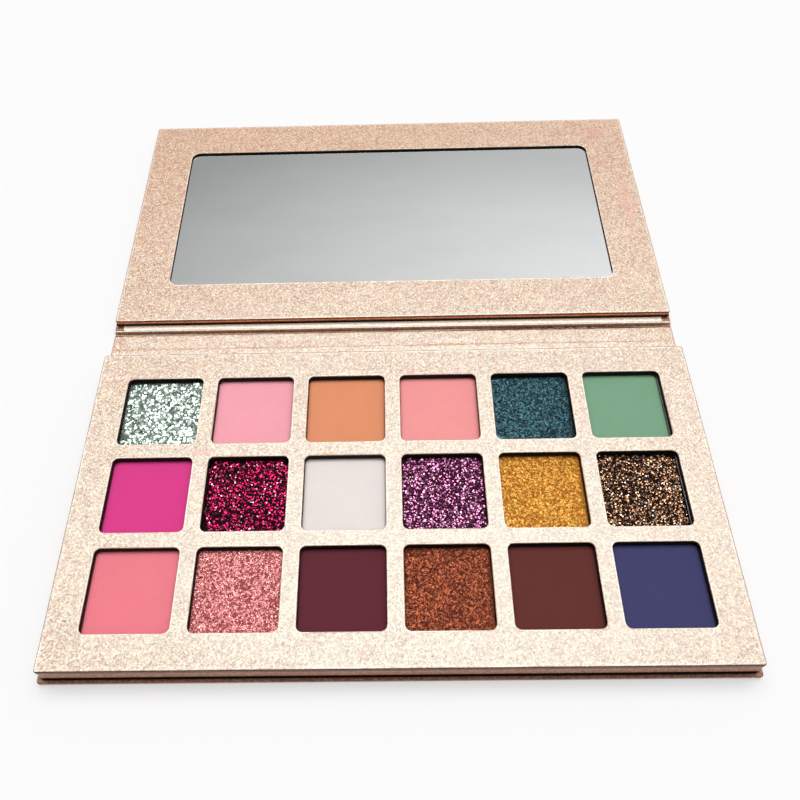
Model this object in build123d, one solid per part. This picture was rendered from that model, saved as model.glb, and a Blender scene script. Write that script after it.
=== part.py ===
from build123d import *
import os

os.makedirs("parts", exist_ok=True)

# An eighteen-pan eyeshadow palette in a book-style card case, lying open and flat.
# Millimetres. The origin is on the rest plane under the middle of the pan block,
# +X runs to the right, +Y from the pans to the lid and +Z up.

# Case: base, spine and lid boards in one glitter-paper wrap
PAPER = 0.3
BOARD = 1.4
CASE_W = 218.6
BASE_COVER_D = 117.4
LID_COVER_D = 120.6
COVER_H = BOARD + 2 * PAPER
SPINE_BOARD = 0.7
SPINE_H = SPINE_BOARD + 2 * PAPER
TURN_IN = 14.0  # width of paper folded over onto each board's inner face
SPINE_TURN_IN = 3.4  # the same beside the folds, where the liner comes nearer the ends
CASE_CORNER_R = 0.6

# Pan block on the base cover
BLOCK_W = 215.0
BLOCK_D = 116.2
BLOCK_H = 8.0
WINDOW_CARD = 1.6
WINDOW = 27.6
WINDOW_GAP = 5.46
WINDOW_R = 2.0
ROWS = ("back", "middle", "front")
COLUMNS = 6

# Pans and what is pressed into them
CARRIER_FLOOR = 1.2
WELL = 29.4
WELL_R = 2.4
GLUE_H = 0.15
GLUE_R = 6.0
PAN = 28.4
PAN_R = 2.2
PAN_WALL = 0.35
PAN_H = 4.5
POWDER_BELOW_FACE = 2.4
POWDER_BEVEL = 0.35
PAN_SHIFT = {("back", 6): -0.45, ("middle", 6): -0.45}  # pans glued a little to the left

# Mirror block on the lid cover
LID_BLOCK_W = 217.8
LID_BLOCK_D = 117.6
LID_BLOCK_H = 2.6
LID_LEDGE = 2.6  # strip of the lid cover left bare beside the hinge
LINER_TUCK = 6.0  # how far the liner runs on under the mirror block
LID_BACKING = 0.6
MIRROR_W = 184.6
MIRROR_D = 84.2
MIRROR_H = 0.8
MIRROR_R = 1.0
MIRROR_TAPE = 0.15
TAPE_INSET = 3.0  # from each edge of the glass
MIRROR_SLACK = 0.4  # room round the glass in its rebate
MIRROR_HEADROOM = 0.1  # and over it
MIRROR_WINDOW_W = 180.5
MIRROR_WINDOW_D = 80.3
MIRROR_WINDOW_R = 3.6
MIRROR_FROM_HINGE = 18.9  # lid block's hinge side to the mirror window

# Closing magnets, two in each block
MAGNET_R = 4.0
MAGNET_H = 1.5
MAGNET_X = 62.0
MAGNET_FROM_EDGE = 5.4
MAGNET_SLACK = 0.05
BLOCK_CORNER_R = 0.8

# Hinge: each crease is a line on the wrap's outer face, clear of the boards beside it
FOLD_CLEARANCE = 0.2
HINGE_GAP = SPINE_H + FOLD_CLEARANCE  # from a cover's edge to its crease line
SPINE_INSET = 0.5  # from a crease line to the spine board
CLOSED_GAP = 0.3
CLOSED_H = COVER_H + BLOCK_H + COVER_H + LID_BLOCK_H + CLOSED_GAP
BASE_EDGE_Y = BLOCK_D / 2
BASE_CREASE_Y = BASE_EDGE_Y + HINGE_GAP
LID_CREASE_Y = BASE_CREASE_Y + CLOSED_H
LID_EDGE_Y = LID_CREASE_Y + HINGE_GAP
SPINE_D = CLOSED_H - 2 * SPINE_INSET
SPINE_Y = (BASE_CREASE_Y + LID_CREASE_Y) / 2

# Levels of the pan block and of the mirror block
BASE_TOP = COVER_H + BLOCK_H
CARD_TOP = BASE_TOP - PAPER
CARRIER_TOP = CARD_TOP - WINDOW_CARD
WELL_FLOOR = COVER_H + CARRIER_FLOOR
PAN_FLOOR = WELL_FLOOR + GLUE_H
POWDER_TOP = BASE_TOP - POWDER_BELOW_FACE
LID_TOP = COVER_H + LID_BLOCK_H
BACKING_TOP = COVER_H + LID_BACKING
MIRROR_FLOOR = BACKING_TOP + MIRROR_TAPE
MIRROR_TOP = MIRROR_FLOOR + MIRROR_H
REBATE_TOP = MIRROR_TOP + MIRROR_HEADROOM
LID_BLOCK_EDGE_Y = LID_EDGE_Y + LID_LEDGE
LID_BLOCK_Y = LID_BLOCK_EDGE_Y + LID_BLOCK_D / 2
MIRROR_Y = LID_BLOCK_EDGE_Y + MIRROR_FROM_HINGE + MIRROR_WINDOW_D / 2


def slab(width, depth, z0, z1, x=0.0, y=0.0, radius=0.0):
    """A flat plate from z0 to z1, centred on x and y, with rounded upright corners."""
    plate = Pos(x, y, (z0 + z1) / 2) * Box(width, depth, z1 - z0)
    if radius:
        plate = fillet(plate.edges().filter_by(Axis.Z), radius)
    return plate


def disc(radius, z0, z1, x, y):
    """An upright disc from z0 to z1."""
    return Pos(x, y, (z0 + z1) / 2) * Cylinder(radius, z1 - z0)


def save(name, *solids):
    """Write one node: a single solid, or a group of separate ones."""
    shape = solids[0] if len(solids) == 1 else Compound(children=list(solids))
    export_step(shape, f"parts/{name}.step")


def window_centres():
    """Row name, column number from 1 and centre of each window, back row first."""
    pitch = WINDOW + WINDOW_GAP
    for row, row_name in enumerate(ROWS):
        for column in range(COLUMNS):
            x = (column - (COLUMNS - 1) / 2) * pitch
            y = (1 - row) * pitch
            yield row_name, column + 1, x, y


def magnet_places(y):
    return [(-MAGNET_X, y), (MAGNET_X, y)]


def cover(edge_y, outward, depth, liner_depth=0.0):
    """Board, wrap, glue sheet and liner flap of a cover whose hinge edge is at edge_y.

    outward is +1 for a cover that runs towards +Y and -1 for one towards -Y. The flap
    is the end of the spine's liner, glued along the hinge edge of the lid cover only.
    """
    mid_y = edge_y + outward * depth / 2
    core_y = mid_y - outward * PAPER / 2
    board = slab(CASE_W - 2 * PAPER, depth - PAPER, PAPER, PAPER + BOARD, y=core_y)
    glue_depth = depth - TURN_IN - liner_depth
    glue_y = edge_y + outward * (liner_depth + glue_depth / 2)
    glue = slab(CASE_W - 2 * TURN_IN, glue_depth, PAPER + BOARD, COVER_H, y=glue_y)
    wrap = slab(CASE_W, depth, 0, COVER_H, y=mid_y)
    far = wrap.edges().filter_by(Axis.Z).sort_by(Axis.Y)
    wrap = fillet(far[-2:] if outward > 0 else far[:2], CASE_CORNER_R)
    wrap = wrap - board - glue
    if not liner_depth:
        return board, wrap, glue, None
    flap_y = edge_y + outward * liner_depth / 2
    flap = slab(CASE_W - 2 * SPINE_TURN_IN, liner_depth, PAPER + BOARD, COVER_H, y=flap_y)
    return board, wrap - flap, glue, flap


# Case
base_board, wrap_base, glue_base, _ = cover(BASE_EDGE_Y, -1, BASE_COVER_D)
lid_board, wrap_lid, glue_lid, liner_lid = cover(
    LID_EDGE_Y, 1, LID_COVER_D, LID_LEDGE + LINER_TUCK
)
save("base_board", base_board)
save("wrap_base", wrap_base)
save("block_glue_sheet", glue_base)
save("lid_board", lid_board)
save("wrap_lid", wrap_lid)
save("lid_glue_sheet", glue_lid)
save("lid_liner", liner_lid)

liner_z = PAPER + SPINE_BOARD
spine_board = slab(CASE_W - 2 * PAPER, SPINE_D, PAPER, liner_z, y=SPINE_Y)
spine_liner = slab(CASE_W - 2 * SPINE_TURN_IN, SPINE_D, liner_z, SPINE_H, y=SPINE_Y)
wrap_spine = slab(CASE_W, SPINE_D, 0, SPINE_H, y=SPINE_Y) - spine_board - spine_liner
save("spine_board", spine_board)
save("spine_liner", spine_liner)
save("wrap_spine", wrap_spine)
save("crease_base", slab(CASE_W, HINGE_GAP, 0, PAPER, y=BASE_EDGE_Y + HINGE_GAP / 2))
save("crease_lid", slab(CASE_W, HINGE_GAP, 0, PAPER, y=LID_EDGE_Y - HINGE_GAP / 2))

# Pan block
core_w = BLOCK_W - 2 * PAPER
core_d = BLOCK_D - 2 * PAPER
core_r = BLOCK_CORNER_R - PAPER
carrier = slab(core_w, core_d, COVER_H, CARRIER_TOP, radius=core_r)
window_card = slab(core_w, core_d, CARRIER_TOP, CARD_TOP, radius=core_r)
block_wrap = slab(BLOCK_W, BLOCK_D, COVER_H, BASE_TOP, radius=BLOCK_CORNER_R)
block_wrap = block_wrap - slab(core_w, core_d, COVER_H, CARD_TOP, radius=core_r)
glue_dots = []
for row_name, column, x, y in window_centres():
    opening = slab(WINDOW, WINDOW, CARRIER_TOP, BASE_TOP, x, y, WINDOW_R)
    window_card = window_card - opening
    block_wrap = block_wrap - opening
    carrier = carrier - slab(WELL, WELL, WELL_FLOOR, CARRIER_TOP, x, y, WELL_R)
    glue_dots.append(disc(GLUE_R, WELL_FLOOR, PAN_FLOOR, x, y))

    pan_x = x + PAN_SHIFT.get((row_name, column), 0.0)
    inner = PAN - 2 * PAN_WALL
    inner_r = PAN_R - PAN_WALL
    cavity = slab(inner, inner, PAN_FLOOR + PAN_WALL, PAN_FLOOR + PAN_H, pan_x, y, inner_r)
    pan = slab(PAN, PAN, PAN_FLOOR, PAN_FLOOR + PAN_H, pan_x, y, PAN_R) - cavity
    powder = slab(inner, inner, PAN_FLOOR + PAN_WALL, POWDER_TOP, pan_x, y, inner_r)
    powder = chamfer(powder.faces().sort_by(Axis.Z)[-1].edges(), POWDER_BEVEL)
    save(f"pan_{row_name}_{column}", pan)
    save(f"powder_{row_name}_{column}", powder)

magnet_y = -BLOCK_D / 2 + MAGNET_FROM_EDGE
base_magnets = []
for x, y in magnet_places(magnet_y):
    pocket_r = MAGNET_R + MAGNET_SLACK
    carrier = carrier - disc(pocket_r, CARRIER_TOP - MAGNET_H, CARRIER_TOP, x, y)
    base_magnets.append(disc(MAGNET_R, CARRIER_TOP - MAGNET_H, CARRIER_TOP, x, y))
save("pan_carrier", carrier)
save("window_card", window_card)
save("block_wrap", block_wrap)
save("pan_glue_dots", *glue_dots)
save("base_magnets", *base_magnets)

# Mirror block
lid_core_w = LID_BLOCK_W - 2 * PAPER
lid_core_d = LID_BLOCK_D - 2 * PAPER
frame_top = LID_TOP - PAPER
mirror_window = slab(
    MIRROR_WINDOW_W, MIRROR_WINDOW_D, BACKING_TOP, LID_TOP, y=MIRROR_Y, radius=MIRROR_WINDOW_R
)
rebate_w = MIRROR_W + MIRROR_SLACK
rebate_d = MIRROR_D + MIRROR_SLACK
backing = slab(lid_core_w, lid_core_d, COVER_H, BACKING_TOP, y=LID_BLOCK_Y, radius=core_r)
frame_card = slab(lid_core_w, lid_core_d, BACKING_TOP, frame_top, y=LID_BLOCK_Y, radius=core_r)
frame_card = frame_card - mirror_window
frame_card = frame_card - slab(rebate_w, rebate_d, BACKING_TOP, REBATE_TOP, y=MIRROR_Y)
frame_wrap = slab(
    LID_BLOCK_W, LID_BLOCK_D, COVER_H, LID_TOP, y=LID_BLOCK_Y, radius=BLOCK_CORNER_R
)
frame_wrap = frame_wrap - slab(
    lid_core_w, lid_core_d, COVER_H, frame_top, y=LID_BLOCK_Y, radius=core_r
)
frame_wrap = frame_wrap - mirror_window
lid_magnets = []
for x, y in magnet_places(BASE_CREASE_Y + LID_CREASE_Y - magnet_y):
    pocket_r = MAGNET_R + MAGNET_SLACK
    frame_card = frame_card - disc(pocket_r, BACKING_TOP, BACKING_TOP + MAGNET_H, x, y)
    lid_magnets.append(disc(MAGNET_R, BACKING_TOP, BACKING_TOP + MAGNET_H, x, y))
save("lid_backing", backing)
save("mirror_frame_card", frame_card)
save("mirror_frame_wrap", frame_wrap)
tape_w = MIRROR_W - 2 * TAPE_INSET
tape_d = MIRROR_D - 2 * TAPE_INSET
save("mirror_tape", slab(tape_w, tape_d, BACKING_TOP, MIRROR_FLOOR, y=MIRROR_Y))
save("mirror", slab(MIRROR_W, MIRROR_D, MIRROR_FLOOR, MIRROR_TOP, y=MIRROR_Y, radius=MIRROR_R))
save("lid_magnets", *lid_magnets)
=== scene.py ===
import math
from typing import NamedTuple

import bmesh
import bpy
import numpy as np
from mathutils import Matrix, Vector


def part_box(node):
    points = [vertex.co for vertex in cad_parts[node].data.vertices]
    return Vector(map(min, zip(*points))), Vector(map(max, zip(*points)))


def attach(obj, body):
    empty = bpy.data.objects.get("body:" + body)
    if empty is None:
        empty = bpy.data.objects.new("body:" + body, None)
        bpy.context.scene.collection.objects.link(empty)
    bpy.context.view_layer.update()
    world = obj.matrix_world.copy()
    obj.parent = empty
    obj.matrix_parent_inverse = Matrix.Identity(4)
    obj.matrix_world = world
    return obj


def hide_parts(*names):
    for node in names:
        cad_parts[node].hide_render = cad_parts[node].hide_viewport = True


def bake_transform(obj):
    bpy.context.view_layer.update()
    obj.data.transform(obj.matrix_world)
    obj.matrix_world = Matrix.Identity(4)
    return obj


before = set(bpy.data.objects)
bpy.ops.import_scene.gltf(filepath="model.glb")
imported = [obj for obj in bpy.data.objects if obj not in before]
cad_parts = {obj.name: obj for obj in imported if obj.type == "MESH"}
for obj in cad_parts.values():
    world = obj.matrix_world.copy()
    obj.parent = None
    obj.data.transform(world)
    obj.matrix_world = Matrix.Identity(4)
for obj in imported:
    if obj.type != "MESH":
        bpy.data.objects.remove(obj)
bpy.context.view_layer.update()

# Looks of an eighteen-pan eyeshadow palette, lying open with its lid at the back. Lengths below
# are in millimetres, and are turned into metres only when a mesh or a material is made.

MM = 0.001


def place(node):
    """Lowest and highest corner of a CAD node, in millimetres."""
    low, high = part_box(node)
    return np.array(low) / MM, np.array(high) / MM


# ---------------------------------------- colours and noise

def linear(red, green, blue):
    """A colour given as 0-255 display values, as linear RGBA."""
    def one(value):
        value /= 255
        return value / 12.92 if value <= 0.04045 else ((value + 0.055) / 1.055) ** 2.4
    return one(red), one(green), one(blue), 1.0


def grey(value):
    return value, value, value, 1.0


def shade(colour, factor):
    """The colour made darker or lighter by a factor, and no brighter than white."""
    return tuple(min(1.0, channel * factor) for channel in colour[:3]) + (1.0,)


def eased(t):
    """0..1 to 0..1, level at both ends."""
    return t * t * (3 - 2 * t)


def bell(distance, width, power=2):
    """1 at no distance, and about a third at width."""
    return np.exp(-(distance / width) ** power)


class Noise:
    """Smooth seeded noise in -1..1 over a plane, from a lattice of random values."""

    SIZE = 64

    def __init__(self, seed):
        self.lattice = np.random.default_rng(seed).uniform(-1, 1, (self.SIZE, self.SIZE))

    def at(self, x, y):
        column, row = np.floor(x).astype(int), np.floor(y).astype(int)
        across, up = eased(x - column), eased(y - row)
        left, right = column % self.SIZE, (column + 1) % self.SIZE
        near, far = row % self.SIZE, (row + 1) % self.SIZE
        near_value = self.lattice[left, near] * (1 - across) + self.lattice[right, near] * across
        far_value = self.lattice[left, far] * (1 - across) + self.lattice[right, far] * across
        return near_value * (1 - up) + far_value * up


# ---------------------------------------- material nodes

class Nodes:
    """A node tree, and short ways to add nodes to it."""

    def __init__(self, tree):
        self.tree = tree
        tree.nodes.clear()

    def feed(self, socket, value):
        """Link a socket from another one, or set it to a constant."""
        if isinstance(value, bpy.types.NodeSocket):
            self.tree.links.new(value, socket)
        else:
            socket.default_value = value

    def add(self, kind, *values, settings=None, **named):
        """A new node, with its first inputs in order and the others by name, _ for a space."""
        node = self.tree.nodes.new("ShaderNode" + kind)
        for key, value in (settings or {}).items():
            setattr(node, key, value)
        for index, value in enumerate(values):
            self.feed(node.inputs[index], value)
        for key, value in named.items():
            self.feed(node.inputs[key.replace("_", " ")], value)
        return node

    def math(self, operation, *values):
        return self.add("Math", *values, settings={"operation": operation}).outputs[0]

    def vector(self, operation, *values):
        node = self.add("VectorMath", *values, settings={"operation": operation})
        return node.outputs["Value" if operation in ("LENGTH", "DOT_PRODUCT") else "Vector"]

    def window(self, value, low, high, start=0.0, end=1.0):
        """value taken from low..high to start..end, smoothly, and held outside."""
        return self.add("MapRange", value, low, high, start, end,
                        settings={"interpolation_type": "SMOOTHSTEP"}).outputs[0]


class Shader(Nodes):
    """A material, and short ways to make its texture."""

    def __init__(self, name):
        self.material = bpy.data.materials.new(name)
        self.material.use_nodes = True
        super().__init__(self.material.node_tree)
        self.output = self.add("OutputMaterial")
        self.here = self.add("TexCoord").outputs["Object"]

    def stretched(self, x, y, z):
        """Where the surface is, with each axis multiplied."""
        return self.vector("MULTIPLY", self.here, (x, y, z))

    def noise(self, size, detail=3.0, roughness=0.55, where=None):
        """Noise whose features are about size millimetres across."""
        where = self.here if where is None else where
        node = self.add("TexNoise", Vector=where, Scale=1 / (size * MM),
                        Detail=detail, Roughness=roughness)
        return node.outputs[0]

    def cells(self, size):
        """Random cells about size millimetres across: the node itself."""
        return self.add("TexVoronoi", Vector=self.here, Scale=1 / (size * MM))

    def mix(self, factor, first, second, blend="MIX"):
        node = self.add("Mix", settings={"data_type": "RGBA", "blend_type": blend})
        # the inputs of this node that a colour mix uses
        for index, value in ((0, factor), (6, first), (7, second)):
            self.feed(node.inputs[index], value)
        return node.outputs[2]

    def red(self, colour):
        return self.add("SeparateColor", colour).outputs[0]

    def green(self, colour):
        return self.add("SeparateColor", colour).outputs[1]

    def attribute(self, name):
        return self.add("Attribute", settings={"attribute_name": name}).outputs["Fac"]

    def bump(self, height, distance):
        """Bump whose full height is distance millimetres."""
        return self.add("Bump", Strength=1.0, Distance=distance * MM, Height=height).outputs[0]

    def flake_normal(self, cells, tilt):
        """The surface normal, tipped a random way in each cell."""
        normal = self.add("NewGeometry").outputs["Normal"]
        tip = self.vector("SUBTRACT", cells.outputs["Color"], (0.5, 0.5, 0.5))
        tip = self.add("VectorMath", tip, settings={"operation": "SCALE"}, Scale=tilt)
        return self.vector("NORMALIZE", self.vector("ADD", normal, tip.outputs["Vector"]))

    def finish(self, **inputs):
        surface = self.add("BsdfPrincipled", **inputs)
        self.tree.links.new(surface.outputs[0], self.output.inputs["Surface"])
        return self.material


# ---------------------------------------- glitter paper

PAPER_COPPER = (0.585, 0.345, 0.20, 1.0)
PAPER_LIGHT = (0.82, 0.525, 0.33, 1.0)
PAPER_DARK = (0.38, 0.12, 0.055, 1.0)
PAPER_SPECK = (0.56, 0.20, 0.11, 1.0)
# Pale cream that paints the highlight along rims and beside the creases
PAINTED_HIGHLIGHT_COLOUR = (0.96, 0.86, 0.74, 1.0)
GRAIN_SIZE = 0.6
CLOUD_SIZE = 9.0
SPECK_SIZE = 0.75
FLAKE_SIZE = 0.38
FLAKE_TILT = 0.22
FLAKE_TINT = (0.68, 0.99, 1.0, 1.0)
FLAKE_GOLD = linear(252, 214, 166)
FLAKE_PINK = linear(250, 192, 172)

# Powder rubbed onto the palette's inner faces: x, y, reach across and along, colour
SMUDGES = (
    (-65.5, 15.8, 6.5, 1.2, linear(238, 120, 92)),
    (-22.0, 14.4, 4.0, 1.3, linear(196, 120, 70)),
    (7.9, 48.4, 1.5, 1.3, linear(232, 96, 116)),
    (25.0, 48.7, 5.0, 0.8, linear(236, 150, 160)),
    (1.0, 15.0, 2.4, 1.2, linear(214, 150, 90)),
    (2.2, -49.8, 1.6, 1.6, linear(180, 110, 66)),
    (1.6, -54.2, 1.2, 1.4, linear(196, 130, 90)),
    (-101.0, -43.0, 0.75, 0.75, linear(50, 32, 28)),
    (-99.6, -42.6, 0.5, 0.5, linear(60, 40, 34)),
    (94.0, 186.0, 7.0, 8.0, linear(214, 140, 120)),
    (103.0, 140.0, 3.5, 22.0, linear(222, 150, 126)),
)
SMUDGES_ABOVE = 2.5, 3.5  # heights between which they fade in: the covers' outsides have none


def glitter_ground(s, tint):
    """Mottled copper with gold flakes and dark specks; tint is a random colour per flake."""
    ground = s.mix(s.window(s.noise(GRAIN_SIZE, 2.0), 0.38, 0.58), PAPER_DARK, PAPER_LIGHT)
    ground = s.mix(0.2, ground, PAPER_COPPER)
    ground = s.mix(s.window(s.noise(CLOUD_SIZE), 0.35, 0.7, 0.0, 0.35), ground, PAPER_LIGHT)
    gold = s.mix(s.green(tint), FLAKE_GOLD, FLAKE_PINK)
    ground = s.mix(s.window(s.red(tint), 0.45, 1.0, 0.0, 0.5), ground, gold)
    specks = s.cells(SPECK_SIZE).outputs["Color"]
    return s.mix(s.window(s.red(specks), 0.66, 0.80, 0.0, 0.75), ground, PAPER_SPECK)


def smudged(s, ground):
    """The ground with each smudge on it, soft at its edge and dusty inside."""
    fade_from, fade_to = SMUDGES_ABOVE
    inner_faces = s.window(s.add("SeparateXYZ", s.here).outputs["Z"], fade_from * MM, fade_to * MM)
    dust = s.math("MULTIPLY", inner_faces, s.window(s.noise(1.1, 4.0, 0.7), 0.34, 0.56))
    for x, y, across, along, colour in SMUDGES:
        offset = s.vector("SUBTRACT", s.here, (x * MM, y * MM, 0.0))
        offset = s.vector("MULTIPLY", offset, (1 / (across * MM), 1 / (along * MM), 0.0))
        fall = s.window(s.vector("LENGTH", offset), 0.2, 1.0, 1.0, 0.0)
        ground = s.mix(s.math("MULTIPLY", fall, dust), ground, colour)
    return ground


def painted_light_and_wear(s, ground, shade_and_rubbed_colour):
    """The ground darkened where the point attribute is above 0, as painted shade in rubbed-looking
    patches, and lightened with a painted highlight along rims where it is below 0.
    """
    wear = s.attribute("wear")
    patches = s.window(s.noise(1.6, 4.0, 0.7), 0.30, 0.60, 0.82, 1.0)
    darkened = s.math("MAXIMUM", s.math("MULTIPLY", wear, patches), 0.0)
    ground = s.mix(darkened, ground, shade_and_rubbed_colour)
    return s.mix(s.window(wear, -1.0, 0.0, 1.0, 0.0), ground, PAINTED_HIGHLIGHT_COLOUR)


def glitter_paper(name, strength, ior, shade_and_rubbed_colour):
    """Champagne-pink glitter paper: a copper ground under a satin coat full of fine flakes.

    strength tints the ground. On the copy for the folded-down sides, ledges and creases it also
    darkens it, as painted shade, and on the copy for the lid block's sides it lightens it, as painted
    light.
    ior sets how much sheen the flake coat gives; it is lower on those copies, so that they look
    shaded. A point attribute darkens the ground from 0 to 1, as painted shade in rubbed-looking
    patches; below 0 it is a painted highlight along a rim.
    """
    s = Shader(name)
    flakes = s.cells(FLAKE_SIZE)
    ground = smudged(s, glitter_ground(s, flakes.outputs["Color"]))
    ground = s.mix(1.0, ground, strength, "MULTIPLY")
    ground = painted_light_and_wear(s, ground, shade_and_rubbed_colour)
    rough = s.window(s.noise(0.5, 2.0), 0.3, 0.7, 0.28, 0.38)
    return s.finish(Base_Color=ground, Roughness=rough, IOR=ior, Specular_Tint=FLAKE_TINT,
                    Normal=s.flake_normal(flakes, FLAKE_TILT))


# ---------------------------------------- other plain materials

def card(name, colour, fibre):
    """Board or card: matte, with specks and short fibres that vary in shade by fibre."""
    s = Shader(name)
    fibres = s.noise(0.5, 5.0, 0.65, s.stretched(1.0, 3.0, 1.0))
    specks = s.window(s.noise(0.25, 1.0), 0.62, 0.7)
    base = s.mix(s.window(fibres, 0.35, 0.65), shade(colour, 1 - fibre), shade(colour, 1 + fibre))
    base = s.mix(s.math("MULTIPLY", specks, 0.3), base, shade(colour, 2.2))
    return s.finish(Base_Color=base, Roughness=s.window(fibres, 0.3, 0.7, 0.8, 0.95),
                    Specular_IOR_Level=0.25, Normal=s.bump(fibres, 0.03))


def plastic():
    """Vacuum-formed black tray: fine grain and faint flow streaks."""
    s = Shader("black_plastic")
    grain = s.noise(0.35, 2.0)
    streak = s.noise(4.0, 3.0, 0.6, s.stretched(1.0, 0.2, 1.0))
    base = s.mix(s.window(streak, 0.35, 0.65), linear(20, 19, 19), linear(34, 32, 31))
    return s.finish(Base_Color=base, Roughness=s.window(streak, 0.3, 0.7, 0.42, 0.6),
                    Normal=s.bump(grain, 0.02))


def metal(name, colour, stretch, rough):
    """Rolled or plated metal: lines along Y where stretch is small, with dull patches."""
    s = Shader(name)
    lines = s.noise(0.12, 2.0, 0.5, s.stretched(1.0, stretch, 1.0))
    dull = s.noise(2.5, 3.0)
    base = s.mix(s.window(lines, 0.3, 0.7), shade(colour, 0.82), colour)
    base = s.mix(s.window(dull, 0.5, 0.75, 0.0, 0.3), base, shade(colour, 0.6))
    return s.finish(Base_Color=base, Metallic=1.0, Normal=s.bump(lines, 0.004),
                    Roughness=s.window(dull, 0.3, 0.7, rough, rough + 0.16))


def adhesive():
    """Cloudy, slightly yellow glue."""
    s = Shader("glue")
    cloud = s.noise(1.5, 4.0)
    base = s.mix(s.window(cloud, 0.35, 0.65), linear(214, 204, 176), linear(240, 232, 208))
    return s.finish(Base_Color=base, Roughness=s.window(cloud, 0.3, 0.7, 0.15, 0.35),
                    Normal=s.bump(cloud, 0.05))


def mirror_glass():
    """Silvered glass with a trace of dust and wiping marks."""
    s = Shader("mirror_glass")
    wipe = s.noise(14.0, 4.0, 0.6, s.stretched(0.35, 1.0, 1.0))
    dust = s.window(s.noise(0.3, 1.0), 0.735, 0.76)
    base = s.mix(s.window(wipe, 0.4, 0.7), (0.93, 0.945, 0.94, 1.0), (0.90, 0.915, 0.91, 1.0))
    base = s.mix(s.math("MULTIPLY", dust, 0.35), base, (0.72, 0.72, 0.71, 1.0))
    wiped_rough = s.window(wipe, 0.45, 0.75, 0.012, 0.03)
    rough = s.math("ADD", wiped_rough, s.math("MULTIPLY", dust, 0.25))
    return s.finish(Base_Color=base, Metallic=1.0, Roughness=rough)


MATERIALS = {
    "glitter_paper": glitter_paper("glitter_paper", strength=(0.96, 0.965, 0.95, 1.0), ior=2.2,
                                   shade_and_rubbed_colour=(0.16, 0.075, 0.045, 1.0)),
    # A darker copy with less sheen, for folded-down sides, ledges and creases: painted shade
    "side_paper_painted_shade": glitter_paper("side_paper_painted_shade", strength=(0.80, 0.68, 0.72, 1.0), ior=1.3,
                                  shade_and_rubbed_colour=(0.04, 0.015, 0.010, 1.0)),
    # A lighter, more orange copy for the lid block's sides: painted light, for light bounced onto
    # them
    "lid_side_paper_painted_light": glitter_paper("lid_side_paper_painted_light", strength=(2.0, 1.35, 1.0, 1.0), ior=1.3,
                                      shade_and_rubbed_colour=(0.10, 0.03, 0.015, 1.0)),
    "greyboard": card("greyboard", (0.305, 0.27, 0.231, 1.0), 0.25),
    "black_card": card("black_card", (0.012, 0.010, 0.010, 1.0), 0.4),
    "black_plastic": plastic(),
    "pan_metal": metal("pan_metal", (0.25, 0.25, 0.26, 1.0), 0.06, 0.30),
    "glue": adhesive(),
    "magnet_nickel": metal("magnet_nickel", (0.62, 0.60, 0.57, 1.0), 1.0, 0.18),
    "mirror_glass": mirror_glass(),
}

# Slots of a papered piece, in order: flat faces; sides, ledges and creases in painted shade (painted
# light on the lid block's sides); black card as a painted shadow line at the blocks' feet
FACE, SIDE_PAINTED_LIGHT, SHADOW_LINE = 0, 1, 2
PAPERED = [MATERIALS["glitter_paper"], MATERIALS["side_paper_painted_shade"], MATERIALS["black_card"]]
LID_PAPERED = [MATERIALS["glitter_paper"], MATERIALS["lid_side_paper_painted_light"], MATERIALS["black_card"]]


# ---------------------------------------- powder materials

# Powders in the order of their pans: finish, ground colour, flake or highlight colour
WHITE = linear(250, 250, 248)
POWDERS = {
    "back": (
        ("chunky", linear(120, 132, 124), linear(196, 212, 200)),
        ("matte", linear(248, 167, 179), WHITE),
        ("matte", linear(229, 149, 109), WHITE),
        ("matte", linear(246, 157, 156), WHITE),
        ("metallic", linear(4, 30, 40), linear(92, 146, 158)),
        ("matte", linear(125, 167, 136), WHITE),
    ),
    "middle": (
        ("matte", linear(223, 65, 141), WHITE),
        ("glitter", linear(20, 0, 6), linear(224, 26, 92)),
        ("satin", linear(231, 220, 216), WHITE),
        ("glitter", linear(58, 10, 38), linear(234, 124, 170)),
        ("metallic", linear(216, 122, 22), linear(255, 208, 100)),
        ("glitter", linear(28, 10, 8), linear(172, 130, 98)),
    ),
    "front": (
        ("matte", linear(241, 130, 142), WHITE),
        ("shimmer", linear(180, 64, 66), linear(250, 172, 170)),
        ("matte", linear(99, 44, 55), WHITE),
        ("metallic", linear(108, 42, 20), linear(212, 114, 76)),
        ("matte", linear(101, 51, 47), WHITE),
        ("matte", linear(67, 66, 108), WHITE),
    ),
}


def matte_powder(name, colour, satin):
    """Pressed powder: a dry, very finely grained ground with a few loose specks."""
    s = Shader(name)
    grain = s.noise(0.22, 3.0, 0.7)
    cloud = s.noise(7.0, 3.0)
    base = s.mix(s.window(grain, 0.3, 0.7), shade(colour, 0.84), shade(colour, 0.95))
    base = s.mix(s.window(cloud, 0.35, 0.7, 0.0, 0.5), base, shade(colour, 0.94))
    specks = s.cells(2.6)
    loose = s.window(specks.outputs["Distance"], 0.02, 0.05, 1.0, 0.0)
    rare = s.window(s.red(specks.outputs["Color"]), 0.90, 0.92)
    base = s.mix(s.math("MULTIPLY", loose, rare), base, shade(colour, 0.6))
    # Painted shade along the edge of the pressed face and on its bevel
    base = s.mix(s.math("MULTIPLY", s.attribute("wear"), 0.45), base, shade(colour, 0.72))
    smoothest, roughest = (0.5, 0.65) if satin else (0.8, 0.95)
    return s.finish(Base_Color=base, Roughness=s.window(grain, 0.3, 0.7, smoothest, roughest),
                    Normal=s.bump(grain, 0.03), Specular_IOR_Level=0.5 if satin else 0.12)


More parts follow.
